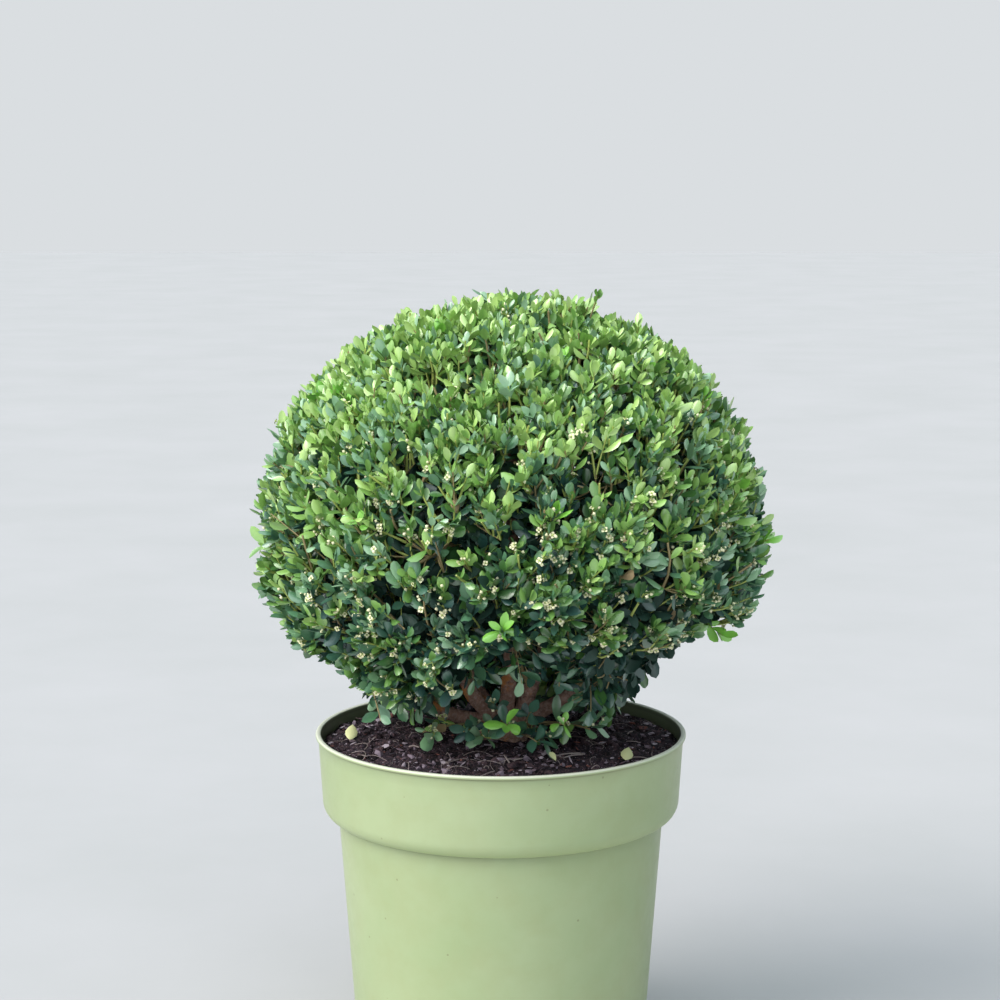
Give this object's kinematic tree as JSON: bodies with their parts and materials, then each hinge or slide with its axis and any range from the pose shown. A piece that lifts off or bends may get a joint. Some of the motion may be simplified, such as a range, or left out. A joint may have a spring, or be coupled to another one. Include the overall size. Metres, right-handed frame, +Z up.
{
  "type": "potted japanese holly",
  "caption": "Small-leaved evergreen shrub clipped to a ball, its stems fanning out of compost in a round tapered plastic nursery pot with a deep collar and drain notches.",
  "frame": {"origin": "centre of the pot's flat underside, on the ground", "axes": "+Z up, -Y towards the front that the picture shows, +X to the right in that view"},
  "size_m": [0.3948, 0.393, 0.5871],
  "materials": {
    "pot": "satin",
    "soil": "matte",
    "bark": "matte",
    "foliage": "satin"
  },
  "bodies": {
    "root": {"pot": "pot", "soil": "soil", "trunk": "bark", "bough_left": "bark", "foliage_left": "foliage", "bough_front_left": "bark", "foliage_front_left": "foliage", "bough_front_right": "bark", "foliage_front_right": "foliage", "bough_right": "bark", "foliage_right": "foliage", "bough_back_right": "bark", "foliage_back_right": "foliage", "bough_back_left": "bark", "foliage_back_left": "foliage", "bough_top": "bark", "foliage_top": "foliage", "spray_front": "foliage", "spray_front_left": "foliage", "spray_left": "foliage", "spray_right": "foliage", "spray_back": "foliage"}
  },
  "joints": []
}
